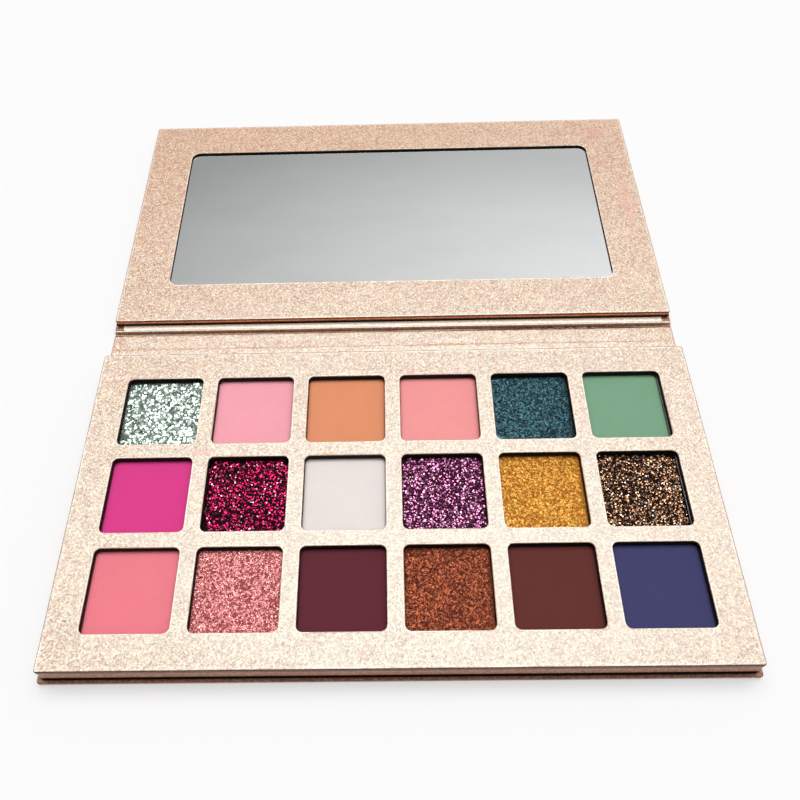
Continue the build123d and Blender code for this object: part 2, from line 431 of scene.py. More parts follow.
def shiny_powder(name, colour, light, metallic, tilt, grain_size, gloss=0.25):
    """Metallic powder: pearl grains that each catch the light their own way."""
    s = Shader(name)
    grains = s.cells(grain_size)
    cloud = s.noise(0.9, 3.0)
    base = s.mix(s.window(s.red(grains.outputs["Color"]), 0.2, 1.0), shade(colour, 0.6), light)
    base = s.mix(s.window(cloud, 0.42, 0.60, 0.0, 0.8), base, shade(colour, 0.4))
    # Painted shade along the edge of the pressed face and on its bevel
    base = s.mix(s.math("MULTIPLY", s.attribute("wear"), 0.5), base, shade(colour, 0.45))
    return s.finish(Base_Color=base, Metallic=metallic, Normal=s.flake_normal(grains, tilt),
                    Roughness=s.window(cloud, 0.3, 0.7, 0.38, 0.55), Specular_IOR_Level=gloss)


def powder_material(kind, name, ground, light):
    """The pressed ground of a powder of this kind."""
    if kind in ("matte", "satin"):
        return matte_powder(name, ground, kind == "satin")
    if kind == "metallic":
        return shiny_powder(name, ground, light, metallic=0.55, tilt=0.75, grain_size=0.34)
    if kind == "shimmer":
        return shiny_powder(name, ground, light, metallic=0.45, tilt=0.5, grain_size=0.25)
    return shiny_powder(name, ground, shade(ground, 1.6), metallic=0.3, tilt=0.4, grain_size=0.25,
                        gloss=0.05)


def flake_foil(name, colour, spread):
    """Cut foil flakes, each with its own tint, that vary in shade by spread; a few are white."""
    s = Shader(name)
    darkest, lightest = shade(colour, 1 - spread), shade(colour, 1 + 0.8 * spread)
    base = s.mix(s.window(s.attribute("tint"), 0.15, 1.0), darkest, lightest)
    base = s.mix(s.window(s.attribute("hue"), 0.90, 0.98, 0.0, 0.5), base, WHITE)
    scratch = s.noise(0.15, 2.0)
    return s.finish(Base_Color=base, Metallic=0.85, Normal=s.bump(scratch, 0.004),
                    Roughness=s.window(scratch, 0.3, 0.7, 0.25, 0.42))


# ---------------------------------------- mesh building

WELD = 0.002  # points nearer than this are joined


class Shape:
    """Points and faces of one mesh, gathered loop by loop, in millimetres."""

    def __init__(self):
        self.points, self.wear, self.faces, self.kinds = [], [], [], []
        self.count = 0

    def add(self, points, wear=0.0):
        """Add points, with one darkening value (painted shade and wear; below 0 a painted highlight)
        for all or one each; returns their numbers.
        """
        points = np.asarray(points, float).reshape(-1, 3)
        first = self.count
        self.points.append(points)
        self.wear.append(np.full(len(points), wear) if np.isscalar(wear) else np.asarray(wear))
        self.count += len(points)
        return np.arange(first, self.count)

    def face(self, corners, kind=FACE):
        self.faces.append(tuple(int(corner) for corner in corners))
        self.kinds.append(kind)

    def skin(self, loops, kind=FACE):
        """Quads between each closed loop and the next."""
        for a, b in zip(loops, loops[1:]):
            for i in range(len(a)):
                j = (i + 1) % len(a)
                self.face((a[i], a[j], b[j], b[i]), kind)

    def grid(self, rows):
        """Quads over a rectangular array of point numbers."""
        for row, above in zip(rows, rows[1:]):
            for i in range(len(row) - 1):
                self.face((row[i], row[i + 1], above[i + 1], above[i]))

    def all_points(self):
        return np.concatenate(self.points)

    def build(self, name, materials, sharp, extra=None, weld=True):
        """The finished Blender object; edges over sharp degrees are left sharp."""
        mesh = bpy.data.meshes.new(name)
        mesh.from_pydata((self.all_points() * MM).tolist(), [], self.faces)
        layers = {"wear": np.concatenate(self.wear), **(extra or {})}
        for key, values in layers.items():
            layer = mesh.attributes.new(key, "FLOAT", "POINT")
            layer.data.foreach_set("value", np.asarray(values, np.float32))
        for material in materials:
            mesh.materials.append(material)
        mesh.polygons.foreach_set("material_index", self.kinds)
        if weld:
            join_doubles(mesh)
        mesh.polygons.foreach_set("use_smooth", [True] * len(mesh.polygons))
        mesh.set_sharp_from_angle(angle=math.radians(sharp))
        mesh.update()
        made = bpy.data.objects.new(name, mesh)
        bpy.context.scene.collection.objects.link(made)
        return made


def join_doubles(mesh):
    """Join points that meet, and turn every face outward."""
    work = bmesh.new()
    work.from_mesh(mesh)
    bmesh.ops.remove_doubles(work, verts=work.verts, dist=WELD * MM)
    bmesh.ops.recalc_face_normals(work, faces=work.faces)
    work.to_mesh(mesh)
    work.free()


ARC_STEPS = 3  # steps over each half of a rounded corner


def side_steps(length, radius, count):
    """Places along one side of a rounded rectangle, as (along, inward) from its corner."""
    if radius == 0:
        return [(length * i / count, 0.0) for i in range(count)]
    places = []
    for i in range(ARC_STEPS):
        angle = math.pi / 4 * (1 - i / ARC_STEPS)
        places.append((radius * (1 - math.sin(angle)), radius * (1 - math.cos(angle))))
    straight = count - 2 * ARC_STEPS
    for i in range(straight + 1):
        places.append((radius + (length - 2 * radius) * i / straight, 0.0))
    for i in range(1, ARC_STEPS):
        angle = math.pi / 4 * i / ARC_STEPS
        places.append((length - radius * (1 - math.sin(angle)), radius * (1 - math.cos(angle))))
    return places


def outline(centre, width, depth, radius, nx, ny, z):
    """A closed loop of 2 * (nx + ny) points, in step with any other of the same nx and ny."""
    x0, y0 = centre[0] - width / 2, centre[1] - depth / 2
    x1, y1 = x0 + width, y0 + depth
    wide, deep = side_steps(width, radius, nx), side_steps(depth, radius, ny)
    loop = [(x0 + along, y0 + inward) for along, inward in wide]
    loop += [(x1 - inward, y0 + along) for along, inward in deep]
    loop += [(x1 - along, y1 - inward) for along, inward in wide]
    loop += [(x0 + inward, y1 - along) for along, inward in deep]
    return np.array([(x, y, z) for x, y in loop])


def quarter(radius, steps):
    """Steps round a quarter circle: (distance in from the side, distance below the top)."""
    turn = [math.pi / 2 * i / steps for i in range(steps + 1)]
    return [(radius * (1 - math.cos(t)), radius * (1 - math.sin(t))) for t in turn]


# ---------------------------------------- paper over the two blocks

PAPER = 0.3  # thickness
BLOCK_CORNER = 0.8
BLOCK_SHARP = 50
SMALLEST_CORNER = 0.25
FACE_CORNER = 0.4  # more round the corners of rings well inside the face
EDGE_ROUND = 0.42
EDGE_SHADE = (0.5, 1.0, 1.0, 1.0)  # painted shade, up the rounded edge
RIM_HIGHLIGHT = (0.0, -0.5)  # painted highlight, over the last of the rounded edge
FACE_RINGS = ((EDGE_ROUND + 0.35, -0.3), (1.6, 0.0), (2.6, 0.0))  # inset, and a painted highlight where negative
# The black band at a block's foot is a painted shadow line: black card where there is only shade
SHADOW_LINE_INSET = 1.1
BEHIND_SHADOW_LINE = 0.1  # how far the paper's hidden inner side is behind the black band
SHADOW_LINE_REACH = 0.3  # the black band stands this far out, and this high, at the foot
CUT_EDGE = 0.12  # rounding of the cut edge of the paper, above the black band at the foot
LIP = 0.32  # rounding of the windows' edges
# Along the windows' lips: painted shade where they turn down, then a painted highlight
LIP_SHADE_AND_HIGHLIGHT = (0.5, 0.0, -0.3, -0.5, -0.5)
LIP_RINGS = (LIP + 0.3, LIP + 1.1)
SWELL, SWELL_SIZE = 0.10, 17.0  # gentle unevenness of the face
RIPPLE, RIPPLE_SIZE = 0.10, 3.1  # and of the folded edge


class Windows(NamedTuple):
    """The windows in a block's face, and the mesh round them."""
    centres: list
    cell: tuple  # width and depth of the piece of face round each window
    size: tuple  # width and depth of a window
    radius: float
    steps: tuple  # mesh steps along the width and depth of a cell


def window_paper(shape, windows, centre, top):
    """The paper round one window: from under the face, over the window's lip, to the cell."""
    under = top - PAPER
    width, depth = windows.size

    def cell(z):
        return shape.add(outline(centre, *windows.cell, 0, *windows.steps, z))

    def ring(out, z, wear=0.0):
        size = width + 2 * out, depth + 2 * out
        return shape.add(outline(centre, *size, windows.radius + out, *windows.steps, z), wear)

    loops = [cell(under), ring(0.0, under)]
    loops += [ring(out, top - drop, wear) for (out, drop), wear in zip(quarter(LIP, 4), LIP_SHADE_AND_HIGHLIGHT)]
    loops += [ring(out, top) for out in LIP_RINGS]
    loops.append(cell(top))
    shape.skin(loops)


def block_sides(shape, windows, low, high, foot_gap, shade_depth):
    """The paper outside the windows' cells: the edge of the face, the sides, and a black band at the
    foot that paints the shadow line there.
    """
    centre = (low + high) / 2
    width, depth = (high - low)[:2]
    top, foot = high[2], low[2]
    columns = len({round(x, 3) for x, y in windows.centres})
    rows = len(windows.centres) // columns
    middle = np.mean(windows.centres, axis=0)
    field = columns * windows.cell[0], rows * windows.cell[1]
    steps = windows.steps[0] * columns, windows.steps[1] * rows

    def all_cells(z):
        return shape.add(outline(middle, *field, 0, *steps, z))

    def side(inset, z, wear=0.0):
        size = width - 2 * inset, depth - 2 * inset
        corner = max(BLOCK_CORNER - inset, SMALLEST_CORNER) + (FACE_CORNER if inset > 1 else 0.0)
        return shape.add(outline(centre, *size, corner, *steps, z), wear)

    behind = SHADOW_LINE_INSET + BEHIND_SHADOW_LINE
    inside = [all_cells(top - PAPER), side(behind, top - PAPER), side(behind, foot)]
    # A band of black card at the foot, standing out a little: a painted shadow line
    shadow_band = [inside[-1], side(-SHADOW_LINE_REACH, foot + 0.01), side(-SHADOW_LINE_REACH, foot + SHADOW_LINE_REACH - 0.05)]
    shadow_band += [side(SHADOW_LINE_INSET, foot + SHADOW_LINE_REACH), side(SHADOW_LINE_INSET, foot + foot_gap)]

    wall_from = foot + foot_gap + CUT_EDGE
    shade_from = top - EDGE_ROUND - shade_depth
    turn = [(inset, top - drop) for inset, drop in quarter(EDGE_ROUND, 5)]
    # Painted shade on the sides: at their foot, and in a band just under the rounded top edge
    walls = [shadow_band[-1], side(CUT_EDGE, foot + foot_gap, 1.0), side(0.0, wall_from, 0.9)]
    walls += [side(0.0, wall_from + shade_depth / 2), side(0.0, shade_from - 0.3)]
    walls.append(side(0.0, shade_from, 1.0))
    walls += [side(inset, z, wear) for (inset, z), wear in zip(turn[:4], EDGE_SHADE)]

    face = [walls[-1]] + [side(inset, z, wear) for (inset, z), wear in zip(turn[4:], RIM_HIGHLIGHT)]
    face += [side(inset, top, wear) for inset, wear in FACE_RINGS]
    face.append(all_cells(top))
    shape.skin(inside)
    shape.skin(shadow_band, SHADOW_LINE)
    shape.skin(walls, SIDE_PAINTED_LIGHT)
    shape.skin(face)


def make_uneven(shape, low, high, noise):
    """Lower the face by a gentle unevenness, and its folded edge by a finer one."""
    points = shape.all_points()
    x, y, z = points.T
    top = high[2]
    swell = (noise.at(x / SWELL_SIZE + 7.3, y / SWELL_SIZE + 3.1) + 1) / 2 * SWELL
    z -= np.where(z > top - 0.02, swell, 0.0)
    centre, half = (low + high) / 2, (high - low) / 2
    to_edge = np.minimum(half[0] - np.abs(x - centre[0]), half[1] - np.abs(y - centre[1]))
    on_edge = (to_edge < EDGE_ROUND) & (z > top - EDGE_ROUND - 0.1) & (z < top - 0.02)
    ripple = (noise.at(x / RIPPLE_SIZE, y / RIPPLE_SIZE) + 1) / 2 * RIPPLE
    z -= np.where(on_edge, ripple, 0.0)
    shape.points = [points]


def papered_block(name, node, windows, noise, materials, foot_gap, shade_depth):
    """Paper over a block: a face with windows, rounded edges and four sides.

    foot_gap is how far above the block's foot the paper stops, over a black band that paints the
    shadow line there, and the last argument is how far below the rounded edge the painted shade goes.
    """
    low, high = place(node)
    shape = Shape()
    for centre in windows.centres:
        window_paper(shape, windows, centre, high[2])
    block_sides(shape, windows, low, high, foot_gap, shade_depth)
    make_uneven(shape, low, high, noise)
    return shape.build(name, materials, BLOCK_SHARP)


ROWS = ("front", "middle", "back")
COLUMNS = 6
PITCH = (place("powder_front_6")[0][0] - place("powder_front_1")[0][0]) / (COLUMNS - 1)
PAN_WINDOWS = Windows(
    centres=[((column - 2.5) * PITCH, (row - 1) * PITCH)
             for row in range(len(ROWS)) for column in range(COLUMNS)],
    cell=(PITCH, PITCH), size=(27.6, 27.6), radius=2.0, steps=(24, 24))

block_paper = papered_block("block_paper", "block_wrap", PAN_WINDOWS, Noise(11), PAPERED,
                            foot_gap=1.35, shade_depth=1.3)
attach(block_paper, "base")
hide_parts("block_wrap")

mirror_low, mirror_high = place("mirror")
MIRROR_WINDOW = Windows(centres=[tuple(((mirror_low + mirror_high) / 2)[:2])], cell=(186.5, 86.3),
                        size=(180.5, 80.3), radius=3.6, steps=(150, 72))

mirror_paper = papered_block("mirror_block_paper", "mirror_frame_wrap", MIRROR_WINDOW, Noise(12),
                             LID_PAPERED, foot_gap=1.05, shade_depth=0.2)
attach(mirror_paper, "lid")
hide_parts("mirror_frame_wrap")


# ---------------------------------------- covers

COVER_ROUND = 0.55
COVER_CORNER = 0.9
COVER_SHARP = 50
COVER_STEPS = (120, 64)
TURN_IN = 14.0  # width of the edges that are turned in on top of the board
LEDGE = 2.6
LEDGE_RINGS = ((1.75, 1.0), (0.9, 0.5))  # inset, and painted shade: the block's shadow on the ledge
# Painted shade on the cover's rounded edge and wall, darkest where the wall turns under
FOLD_SHADE = 0.2
WALL_SHADE = 0.45
FOOT_SHADE = (0.2, 0.6, 0.9)
UNDERSIDE_SHADE = 0.1


def papered_cover(name, node, board, outward):
    """Wrap of one cover: paper under and round its board, with edges turned in on top.

    outward is 1 or -1, the way along Y that the cover's free edge faces.
    """
    low, high = place(node)
    board_low, board_high = place(board)
    centre = (low + high) / 2
    width, depth = (high - low)[:2]
    top, bottom = high[2], low[2]
    shape = Shape()

    def ring(inset, z, wear=0.0):
        size = width - 2 * inset, depth - 2 * inset
        corner = max(COVER_CORNER - inset, 0.3)
        return shape.add(outline(centre, *size, corner, *COVER_STEPS, z), wear)

    def inner(z, x_inset, y_inset):
        size = width - 2 * x_inset, depth - y_inset - PAPER
        middle = centre[0], centre[1] - outward * (y_inset - PAPER) / 2
        return shape.add(outline(middle, *size, 0.3, *COVER_STEPS, z))

    under_board = inner(board_low[2], PAPER, PAPER)
    upper = [under_board, inner(board_high[2], PAPER, PAPER)]
    upper += [inner(board_high[2], TURN_IN, TURN_IN), inner(top, TURN_IN, TURN_IN)]
    upper.append(ring(LEDGE, top))
    turn = quarter(COVER_ROUND, 4)
    ledge = [upper[-1]] + [ring(inset, top, wear) for inset, wear in LEDGE_RINGS]
    ledge += [ring(inset, top - drop, FOLD_SHADE) for inset, drop in turn[:2:-1]]
    walls = [ledge[-1]] + [ring(inset, top - drop, WALL_SHADE) for inset, drop in turn[2::-1]]
    walls.append(ring(0.0, (top + bottom) / 2))
    walls += [ring(inset, bottom + drop, wear) for (inset, drop), wear in zip(turn, FOOT_SHADE)]
    lower = [walls[-1]] + [ring(inset, bottom + drop, UNDERSIDE_SHADE) for inset, drop in turn[3:]]
    shape.skin(upper)
    shape.skin(ledge, SIDE_PAINTED_LIGHT)
    shape.skin(walls, SIDE_PAINTED_LIGHT)
    shape.skin(lower)
    shape.face(lower[-1])
    shape.face(under_board)
    made = shape.build(name, PAPERED, COVER_SHARP)
    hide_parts(node)
    return made


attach(papered_cover("base_cover_paper", "wrap_base", "base_board", -1), "base")
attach(papered_cover("lid_cover_paper", "wrap_lid", "lid_board", 1), "lid")


# ---------------------------------------- hinge

spine_low, spine_high = place("wrap_spine")
crease_low, crease_high = place("crease_base")
lid_crease_low, lid_crease_high = place("crease_lid")
flap_low, flap_high = place("lid_liner")
LINER_END = place("spine_liner")[1][0]
BASE_AXIS = crease_high[1]
LID_AXIS = lid_crease_low[1]
SPINE_MIDDLE = (spine_low[1] + spine_high[1]) / 2
COVER_TOP = flap_high[2]
GROOVE = 0.42  # height of the paper's upper face down in a crease

# The folding paper across the hinge: place along Y, and height of its upper face
FOLD_PROFILE = (
    (crease_low[1], COVER_TOP), (crease_low[1] + 0.3, COVER_TOP - 0.3),
    (crease_low[1] + 0.75, GROOVE + 0.1), (BASE_AXIS, GROOVE),
    (spine_low[1] - 0.05, 1.18), (spine_low[1] + 0.9, 1.26), (spine_low[1] + 3.7, 1.20),
    (SPINE_MIDDLE - 0.3, 1.30), (SPINE_MIDDLE + 0.4, 1.22),
    (spine_high[1] - 0.6, 1.28), (spine_high[1] + 0.05, 1.18), (LID_AXIS, GROOVE),
    (lid_crease_high[1] - 0.95, GROOVE + 0.05), (lid_crease_high[1] - 0.75, COVER_TOP - 0.5),
    (lid_crease_high[1] - 0.5, COVER_TOP), (lid_crease_high[1], COVER_TOP),
)
LINER_STEP, TURNED_IN_LOWEST = 0.07, 0.62  # the paper past the liner's end: thinner, less pressed in
FOLD_UNEVEN = 0.035
UNDER_GROOVE = 0.10  # rise of the paper's lower face in a crease
END_COLUMNS = (0.0, 0.06, 0.2, 0.45, 0.9, 1.8, 2.6, 3.15, 3.35, 3.5, 4.4)  # in from each end
FIRST_EVEN_COLUMN = 8.0
FOLD_COLUMNS = 300
FOLD_ROWS = 76
FOLD_SHARP = 60
SHADED_ABOVE = 0.55  # darkening above which the fold's faces take the darker side paper: painted shade
CREASE_MOTTLED = 68.0  # where along X the dark band of painted shade in the crease at the lid is widest
BELLY = 3.2  # a bulge behind the spine's front edge, where a painted highlight stands for the light it catches


def fold_profile(y):
    """Height of the paper, on a curve that is level at each station of FOLD_PROFILE."""
    stations, heights = np.array(FOLD_PROFILE).T
    i = np.clip(np.searchsorted(stations, y, "right") - 1, 0, len(stations) - 2)
    t = eased(np.clip((y - stations[i]) / (stations[i + 1] - stations[i]), 0, 1))
    return heights[i] * (1 - t) + heights[i + 1] * t


def fold_heights(x, y, noise):
    """Heights of the folding paper's upper and lower face."""
    upper = fold_profile(y)
    # past the liner's end only the turned-in wrap crosses the fold, in a shallower groove
    beyond = np.clip((np.abs(x) - LINER_END) / 0.15, 0, 1)
    turned_in = np.maximum(upper - LINER_STEP, TURNED_IN_LOWEST)
    upper = upper * (1 - beyond) + turned_in * beyond
    upper = upper - (noise.at(x / 9.0, y / 2.2) + 1) * FOLD_UNEVEN
    # at the palette's sides the paper is rounded off
    from_side = np.clip((spine_high[0] - np.abs(x)) / COVER_ROUND, 0, 1)
    rounding = 1 - np.sqrt(1 - (1 - from_side) ** 2)
    upper = upper - np.minimum(0.5, upper * 0.45) * rounding
    lower = UNDER_GROOVE * (bell(y - BASE_AXIS, 0.3) + bell(y - LID_AXIS, 0.3))
    return upper, lower + np.minimum(0.3, upper * 0.3) * rounding


def crease_wear(x, y, noise):
    """Painted shade in the creases and painted highlights beside them; the dark band at the lid
    widens and mottles towards the right.
    """
    wander = 0.25 * noise.at(x / 14.0, x * 0 + 5.5)
    width = 0.42 + 0.62 * bell(x - CREASE_MOTTLED, 26.0)
    speckle = (noise.at(x / 0.7, y / 0.5) + 1) / 2
    mottle = 1 - 0.75 * np.clip((width - 0.6) / 0.4, 0, 1) * speckle
    at_lid = 1.2 * bell(y - spine_high[1] - 0.2 - wander, width, 4) * mottle
    at_base = 0.35 * bell(y - spine_low[1], 0.4)
    belly_highlight = 0.55 * bell(y - spine_low[1] - BELLY, 0.8)
    ledge_highlight = 0.6 * bell(y - lid_crease_high[1] + 0.05, 0.45)
    at_lid = np.clip(at_lid, 0, 1)
    return at_lid + at_base - (belly_highlight + ledge_highlight) * (1 - at_lid)


def folded_sheet(name, y_from, y_to, noise):
    """One half of the hinge: a closed sheet whose upper face follows the profile."""
    half, ends = spine_high[0], np.array(END_COLUMNS)
    even = np.linspace(FIRST_EVEN_COLUMN - half, half - FIRST_EVEN_COLUMN, FOLD_COLUMNS)
    x, y = np.meshgrid(np.concatenate([ends - half, even, half - ends[::-1]]),
                       np.linspace(y_from, y_to, FOLD_ROWS))
    upper, lower = fold_heights(x, y, noise)
    wear = crease_wear(x, y, noise)
    shape = Shape()
    top = shape.add(np.stack([x, y, upper], -1), wear.ravel()).reshape(x.shape)
    under = shape.add(np.stack([x, y, lower], -1)).reshape(x.shape)
    for row, column in np.ndindex(x.shape[0] - 1, x.shape[1] - 1):
        a, b = top[row, column:column + 2]
        d, c = top[row + 1, column:column + 2]
        # Deeply shaded parts of the fold take the side paper's darker copy: painted shade
        shape.face((a, b, c, d), SIDE_PAINTED_LIGHT if wear[row, column] > SHADED_ABOVE else FACE)
    shape.grid(under[::-1])
    for edge in ((top[0], under[0]), (under[-1], top[-1]),
                 (under[:, 0], top[:, 0]), (top[:, -1], under[:, -1])):
        shape.grid(np.stack(edge)[::-1])
    made = shape.build(name, PAPERED, FOLD_SHARP)
    return made


hinge_noise = Noise(21)
base_fold = folded_sheet("base_fold_paper", crease_low[1], SPINE_MIDDLE, hinge_noise)
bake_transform(base_fold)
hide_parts("crease_base", "wrap_spine")
lid_fold = folded_sheet("lid_fold_paper", SPINE_MIDDLE, lid_crease_high[1], hinge_noise)
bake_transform(lid_fold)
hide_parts("crease_lid", "spine_liner")

FLAP_PROUD = 0.05
FLAP_STEPS = (90, 8)
FLAP_RINGS = ((0.06, -0.5), (0.5, -0.75), (1.2, -0.45))  # inset, and the painted highlight along the rim


def liner_flap(name):
    """End of the liner, glued over the lid cover's ledge, with a painted highlight along its rim."""
    centre = (flap_low + flap_high) / 2
    width, depth = (flap_high - flap_low)[:2]
    top, bottom = flap_high[2], flap_low[2]
    shape = Shape()

    def ring(inset, z, wear=0.0):
        size = width - 2 * inset, depth - 2 * inset
        return shape.add(outline(centre, *size, SMALLEST_CORNER, *FLAP_STEPS, z), wear)

    loops = [ring(0.02, bottom), ring(0.0, top - 0.08)]
    loops += [ring(inset, top + FLAP_PROUD, wear) for inset, wear in FLAP_RINGS]
    shape.skin(loops)
    shape.face(loops[0])
    shape.face(loops[-1])
    made = shape.build(name, PAPERED, COVER_SHARP)
    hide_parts("lid_liner")
    return made


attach(liner_flap("liner_flap"), "lid")


# ---------------------------------------- powders

POWDER_CORNER = 1.85
POWDER_BEVEL = 0.35
POWDER_SHARP = 35
POWDER_STEPS = {"matte": 56, "satin": 56, "metallic": 130, "shimmer": 90, "glitter": 60, "chunky": 60}
EDGE_BAND = 0.5  # width of the band of painted shade along the edge of the pressed face
BAND_SHADE = 0.6
FLAKES = {
    # count, size across, tilt in degrees, thickness, how much they vary in shade
    "chunky": (1500, 1.15, 20.0, 0.03, 0.35),
    "glitter": (2700, 0.58, 28.0, 0.02, 0.9),
    "shimmer": (2200, 0.34, 24.0, 0.015, 0.35),
}
FLAKE_SIDES = 6
FLAKE_MARGIN = 0.15  # kept clear at the powder's edge
STEEPEST_FLAKE = 60  # degrees
FOIL = 1  # slot of the flakes' material, after the ground's


def pressed_surface(kind, seed, x, y, half):
    """Depth of the pressed face below its highest level."""
    noise, fine = Noise(seed), Noise(seed + 500)
    inside = np.clip((half - np.maximum(np.abs(x), np.abs(y))) / 2.5, 0, 1)
    depth = 0.05 * (1 - inside) + 0.03 * (noise.at(x / 9 + 5, y / 9 + 5) + 1)
    if kind in ("matte", "satin"):
        return depth + 0.006 * (fine.at(x / 0.7 + 9, y / 0.7 + 9) + 1)
    if kind == "metallic":
        bend = 1.4 * noise.at(x / 4.0 + 2, y / 4.0 + 2)
        ridge = np.abs(fine.at((x * 0.8 + y * 0.6) / 0.85 + bend, (y * 0.8 - x * 0.6) / 0.5 + 40))
        grit = fine.at(x / 0.33 + 3, y / 0.33 + 3) + 1
        return depth + 0.13 * ridge + 0.03 * grit
    if kind == "shimmer":
        grit = fine.at(x / 0.3, y / 0.3) + 1
        return depth + 0.06 * np.abs(fine.at(x / 0.5, y / 0.5)) + 0.03 * grit
    return depth + 0.12 + 0.06 * fine.at(x / 1.1, y / 1.1)


def rounded(x, y, half, radius):
    """Move a square grid's corners onto a round corner."""
    inner = half - radius
    over_x, over_y = np.maximum(np.abs(x) - inner, 0), np.maximum(np.abs(y) - inner, 0)
    reach = np.maximum(over_x, over_y)
    length = np.hypot(over_x, over_y)
    squeeze = np.where(length > 0, reach / np.maximum(length, 1e-9), 1.0)
    new_x = np.sign(x) * (np.minimum(np.abs(x), inner) + over_x * squeeze)
    new_y = np.sign(y) * (np.minimum(np.abs(y), inner) + over_y * squeeze)
    return new_x, new_y


def pressed_block(shape, kind, seed, low, high):
    """The pressed powder itself: its uneven face, bevelled edge, sides and bottom."""
    centre, half, top = (low + high) / 2, (high - low)[0] / 2, high[2]
    flat = half - POWDER_BEVEL
    line = np.linspace(-1, 1, POWDER_STEPS[kind] + 1) * flat
    x, y = rounded(*np.meshgrid(line, line), flat, POWDER_CORNER - POWDER_BEVEL)
    z = top - pressed_surface(kind, seed, x, y, half)
    # A band of painted shade along the edge of the face
    band = np.clip(1 - (flat - np.maximum(np.abs(x), np.abs(y))) / EDGE_BAND, 0, 1)
    face = shape.add(np.stack([x + centre[0], y + centre[1], z], -1), band.ravel() * BAND_SHADE)
    face = face.reshape(x.shape)
    shape.grid(face)
    rim = np.concatenate([face[0, :-1], face[:-1, -1], face[-1, :0:-1], face[:0:-1, 0]])
    rim_points = shape.all_points()[rim]
    loops = [rim]
    # The bevel and sides are darkened in full: painted shade in the recess
    for out, level in ((POWDER_BEVEL * 0.6, top - POWDER_BEVEL * 0.5),
                       (POWDER_BEVEL, top - POWDER_BEVEL * 1.2), (POWDER_BEVEL, low[2])):
        ring = rim_points.copy()
        ring[:, :2] = centre[:2] + (rim_points[:, :2] - centre[:2]) * (flat + out) / flat
        ring[:, 2] = level
        loops.append(shape.add(ring, 1.0))
    shape.skin(loops)
    shape.face(loops[-1])


def flake_axes(spin, lean, toward):
    """Two axes across each flake, turned by spin, and its normal, leaning one way."""
    sideways = np.sin(lean)
    normal = np.stack([sideways * np.cos(toward), sideways * np.sin(toward), np.cos(lean)], -1)
    aside = np.cross(normal, np.stack([np.cos(spin), np.sin(spin), np.zeros(len(spin))], -1))
    aside /= np.linalg.norm(aside, axis=1)[:, None]
    return aside, np.cross(aside, normal), normal


def scatter_flakes(shape, kind, centre, half, top, seed):
    """Lay thin six-sided flakes on the powder; returns the tint and hue of each point."""
    count, size, tilt, thick = FLAKES[kind][:4]
    rng = np.random.default_rng(seed)
    reach = half - size * 0.45
    x, y = rng.uniform(-reach, reach, (2, count))
    in_corner = (np.abs(x) > half - POWDER_CORNER) & (np.abs(y) > half - POWDER_CORNER)
    squeeze = np.where(in_corner, (half - POWDER_CORNER * 0.9) / half, 1.0)
    radius = size / 2 * rng.uniform(0.6, 1.15, count)
    lift = rng.uniform(-0.16, -0.02, count)
    spin = rng.uniform(0, 2 * math.pi, count)
    lean = np.radians(np.abs(rng.normal(0, tilt, count)).clip(0, STEEPEST_FLAKE))
    toward = rng.uniform(0, 2 * math.pi, count)
    aside, along, normal = flake_axes(spin, lean, toward)
    middle = np.stack([x * squeeze + centre[0], y * squeeze + centre[1], top + lift], -1)
    angles = np.arange(FLAKE_SIDES) * 2 * math.pi / FLAKE_SIDES
    spoke = radius[:, None] * rng.uniform(0.82, 1.12, (count, FLAKE_SIDES))
    rim = (aside[:, None, :] * (np.cos(angles) * spoke)[..., None]
           + along[:, None, :] * (np.sin(angles) * spoke)[..., None])
    half_thick = normal[:, None, :] * thick / 2
    upper, lower = middle[:, None, :] + rim + half_thick, middle[:, None, :] + rim - half_thick
    points = shape.add(np.concatenate([upper, lower], 1))
    for corners in points.reshape(count, 2, FLAKE_SIDES):
        add_flake_faces(shape, *corners)
    tint = np.repeat(rng.uniform(0, 1, count), 2 * FLAKE_SIDES)
    hue = np.repeat(rng.uniform(0, 1, count), 2 * FLAKE_SIDES)
    return tint, hue


def add_flake_faces(shape, upper, lower):
    shape.face(upper, FOIL)
    shape.face(lower[::-1], FOIL)
    for i in range(FLAKE_SIDES):
        j = (i + 1) % FLAKE_SIDES
        shape.face((upper[i], lower[i], lower[j], upper[j]), FOIL)


def powder(row, column, kind, ground, light, seed):
    """One powder, with its flakes if its kind has any, in place of its CAD node."""
    node = f"powder_{row}_{column}"
    low, high = place(node)
    shape = Shape()
    pressed_block(shape, kind, seed, low, high)
    materials = [powder_material(kind, node, ground, light)]
    tint = hue = np.zeros(shape.count)
    if kind in FLAKES:
        half = (high - low)[0] / 2 - FLAKE_MARGIN
        more_tint, more_hue = scatter_flakes(shape, kind, (low + high) / 2, half, high[2], seed)
        tint, hue = np.concatenate([tint, more_tint]), np.concatenate([hue, more_hue])
        materials.append(flake_foil(f"flakes_{row}_{column}", light, spread=FLAKES[kind][4]))
    made = shape.build(f"pressed_{row}_{column}", materials, POWDER_SHARP,
                       extra={"tint": tint, "hue": hue}, weld=False)
    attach(made, "base")
    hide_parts(node)


for row, finishes in POWDERS.items():
    for index, (kind, ground, light) in enumerate(finishes):
        powder(row, index + 1, kind, ground, light, seed=100 + 10 * index + ROWS.index(row))


# ---------------------------------------- materials of the CAD nodes

